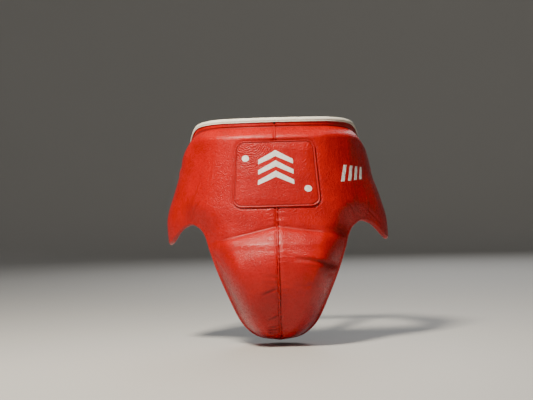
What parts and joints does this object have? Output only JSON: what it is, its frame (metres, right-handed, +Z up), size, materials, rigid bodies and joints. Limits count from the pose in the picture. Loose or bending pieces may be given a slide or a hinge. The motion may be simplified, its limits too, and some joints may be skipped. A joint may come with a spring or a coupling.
{
  "type": "groin protector",
  "caption": "Red leather padded groin protector with hip wings, a cup in the tongue, white waist binding, elastic rear band, hook-and-loop tabs and leg straps.",
  "frame": {"origin": "middle of the waist opening, level with the top edge of the front", "axes": "+X to the right as seen from the front, -Y the way the front faces, +Z up"},
  "size_m": [0.349, 0.3021, 0.3512],
  "materials": {
    "red_leather": "glossy, smooth coated leather",
    "white_binding": "satin off-white leather",
    "lining_cloth": "woven nylon, matte",
    "foam": "open-cell padding foam, matte",
    "cup_shell": "moulded plastic, satin",
    "liner_suede": "brushed suede cloth",
    "nickel_wire": "polished nickel plate",
    "black_elastic": "ribbed elastic webbing, matte",
    "hook_tape": "hook tape, matte",
    "loop_tape": "loop pile tape, matte",
    "black_plastic": "moulded plastic"
  },
  "bodies": {
    "root": {"front_panel_right": "red_leather", "front_panel_left": "red_leather", "wing_end_cap_right": "red_leather", "wing_end_cap_left": "red_leather", "centre_welt": "red_leather", "badge_patch": "red_leather", "badge_piping": "red_leather", "closure_strap_right": "red_leather", "closure_strap_left": "red_leather", "anchor_tab": "red_leather", "waist_binding": "white_binding", "lining_right": "lining_cloth", "lining_left": "lining_cloth", "cup_rim_roll": "lining_cloth", "belly_foam": "foam", "cup_foam": "foam", "hip_foam_right": "foam", "hip_foam_left": "foam", "cup_shell": "cup_shell", "cup_liner": "liner_suede", "rear_band": "black_elastic", "leg_strap_right": "black_elastic", "leg_strap_left": "black_elastic", "ring_keeper_right": "black_elastic", "ring_keeper_left": "black_elastic", "loop_field_right": "loop_tape", "loop_field_left": "loop_tape"},
    "right_tab": {"closure_tab_right": "red_leather", "hook_patch_right": "hook_tape"},
    "left_tab": {"closure_tab_left": "red_leather", "hook_patch_left": "hook_tape"},
    "right_ring": {"ring_right": "nickel_wire"},
    "left_ring": {"ring_left": "nickel_wire"},
    "right_slider": {"leg_slider_right": "black_plastic"},
    "left_slider": {"leg_slider_left": "black_plastic"}
  },
  "joints": [
    {"name": "right_tab_peel", "type": "hinge", "parent": "root", "child": "right_tab", "pos_m": [0.119, 0.09003, -0.088], "axis": [0, 0, 1], "range_deg": [0, 110]},
    {"name": "left_tab_peel", "type": "hinge", "parent": "root", "child": "left_tab", "pos_m": [-0.119, 0.09003, -0.088], "axis": [0, 0, -1], "range_deg": [0, 110]},
    {"name": "right_ring_swing", "type": "hinge", "parent": "root", "child": "right_ring", "pos_m": [0.10375, 0.09821, -0.088], "axis": [0, 0, 1], "range_deg": [-7, 7]},
    {"name": "left_ring_swing", "type": "hinge", "parent": "root", "child": "left_ring", "pos_m": [-0.10375, 0.09821, -0.088], "axis": [0, 0, -1], "range_deg": [-7, 7]},
    {"name": "right_slider_travel", "type": "slide", "parent": "root", "child": "right_slider", "axis": [0.1308, 0.7076, 0.6944], "range_m": [-0.045, 0.135]},
    {"name": "left_slider_travel", "type": "slide", "parent": "root", "child": "left_slider", "axis": [-0.1308, 0.7076, 0.6944], "range_m": [-0.045, 0.135]}
  ]
}
